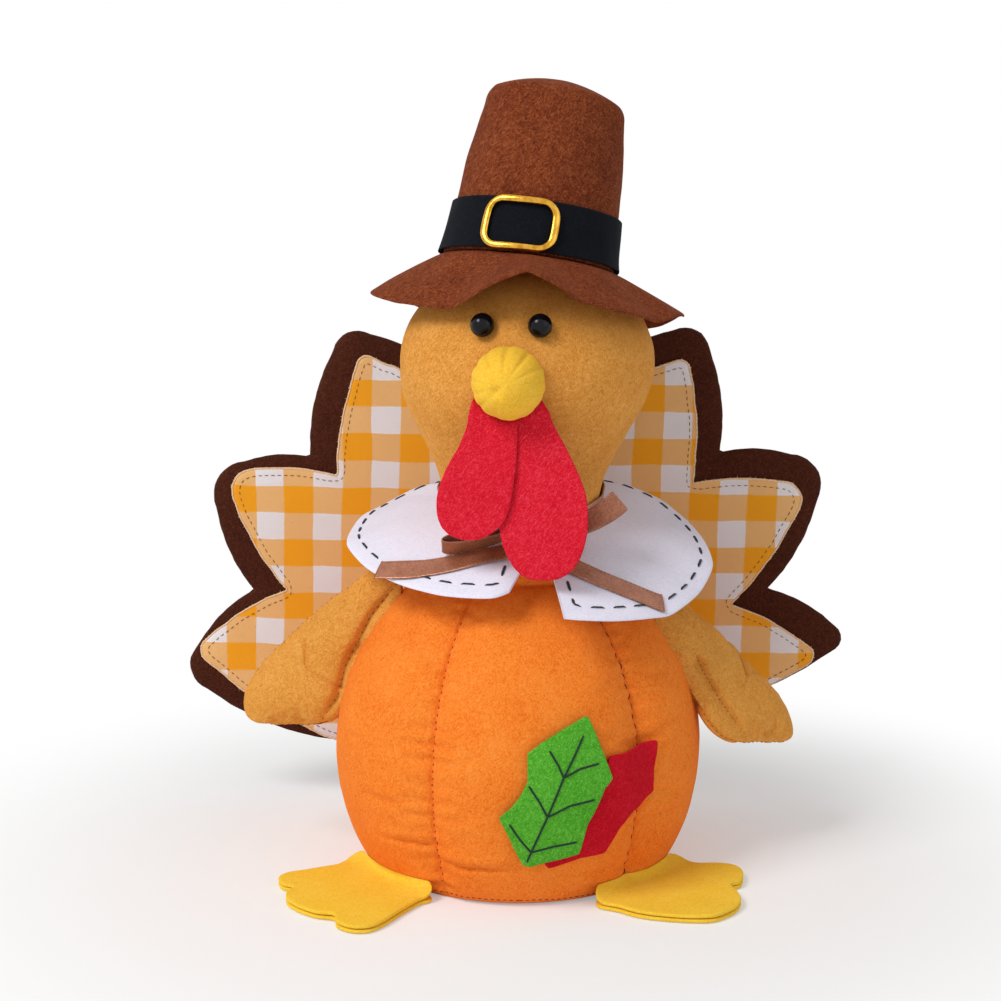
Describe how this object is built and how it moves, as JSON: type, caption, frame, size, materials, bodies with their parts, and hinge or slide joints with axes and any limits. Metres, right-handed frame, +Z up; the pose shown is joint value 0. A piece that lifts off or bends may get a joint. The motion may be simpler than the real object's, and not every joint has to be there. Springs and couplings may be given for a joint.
{
  "type": "thanksgiving turkey figure",
  "caption": "Standing stuffed felt turkey with a gored round body, pear-shaped head, pilgrim hat, white collar with a ribbon bow, soft wings, flat feet and a padded gingham tail fan.",
  "frame": {"origin": "middle of the underside of the base panel", "axes": "+Z up, front faces -Y, +X is the viewer's right"},
  "size_m": [0.2489, 0.1408, 0.2716],
  "materials": {
    "body_fabric": "plush",
    "head_fabric": "plush",
    "filling": "fibre",
    "weight_cloth": "woven",
    "card": "matt",
    "eye_bead": "gloss",
    "yellow_felt": "felt",
    "red_felt": "felt",
    "crimson_felt": "felt",
    "green_felt": "felt",
    "white_felt": "felt",
    "ribbon": "satin",
    "hat_felt": "felt",
    "band_cloth": "felt",
    "gold_metal": "plated",
    "tail_felt": "felt",
    "gingham": "woven"
  },
  "bodies": {
    "body": {"base_panel": "body_fabric", "base_card": "card", "weight_bag": "weight_cloth", "body_stuffing": "filling", "gore_front": "body_fabric", "gore_front_right": "body_fabric", "gore_back_right": "body_fabric", "gore_back_left": "body_fabric", "gore_front_left": "body_fabric", "head_cover": "head_fabric", "head_stuffing": "filling", "left_eye": "eye_bead", "right_eye": "eye_bead", "beak_cover": "yellow_felt", "beak_stuffing": "filling", "wattle_root": "red_felt", "hat_brim": "hat_felt", "hat_crown": "hat_felt", "hat_top": "hat_felt", "hat_stuffing": "filling", "hat_band": "band_cloth", "hat_buckle": "gold_metal", "collar": "white_felt", "neck_ribbon": "ribbon", "bow_knot": "ribbon", "left_loop": "ribbon", "right_loop": "ribbon", "left_ribbon_end": "ribbon", "right_ribbon_end": "ribbon", "tail_gingham": "gingham", "tail_front_panel": "tail_felt", "tail_batting": "filling", "tail_back_panel": "tail_felt", "red_leaf": "crimson_felt", "green_leaf": "green_felt"},
    "left_wing": {"left_wing_front": "head_fabric", "left_wing_back": "head_fabric", "left_wing_stuffing": "filling"},
    "right_wing": {"right_wing_front": "head_fabric", "right_wing_back": "head_fabric", "right_wing_stuffing": "filling"},
    "long_wattle": {"long_wattle": "red_felt"},
    "short_wattle": {"short_wattle": "red_felt"},
    "left_foot": {"left_foot_sole": "yellow_felt", "left_foot_upper": "yellow_felt"},
    "right_foot": {"right_foot_sole": "yellow_felt", "right_foot_upper": "yellow_felt"}
  },
  "joints": [
    {"name": "left_wing_swing", "type": "hinge", "parent": "body", "child": "left_wing", "pos_m": [-0.04778, -0.004, 0.09696], "axis": [-1, 0, 0], "range_deg": [-30, 60], "stiffness_Nm_per_rad": 0.02},
    {"name": "right_wing_swing", "type": "hinge", "parent": "body", "child": "right_wing", "pos_m": [0.0513, -0.004, 0.08996], "axis": [-1, 0, 0], "range_deg": [-30, 60], "stiffness_Nm_per_rad": 0.02},
    {"name": "long_wattle_lift", "type": "hinge", "parent": "body", "child": "long_wattle", "pos_m": [-0.00314, -0.04367, 0.15871], "axis": [-0.9903, 0.1392, 0], "range_deg": [0, 30]},
    {"name": "short_wattle_lift", "type": "hinge", "parent": "long_wattle", "child": "short_wattle", "pos_m": [-0.00336, -0.04525, 0.15889], "axis": [-0.9903, 0.1392, 0], "range_deg": [0, 35]},
    {"name": "left_foot_lift", "type": "hinge", "parent": "body", "child": "left_foot", "pos_m": [-0.03971, -0.03274, 0.003], "axis": [-0.6361, 0.7716, 0], "range_deg": [0, 45]},
    {"name": "right_foot_lift", "type": "hinge", "parent": "body", "child": "right_foot", "pos_m": [0.03971, -0.03274, 0.003], "axis": [-0.6361, -0.7716, 0], "range_deg": [0, 45]}
  ]
}
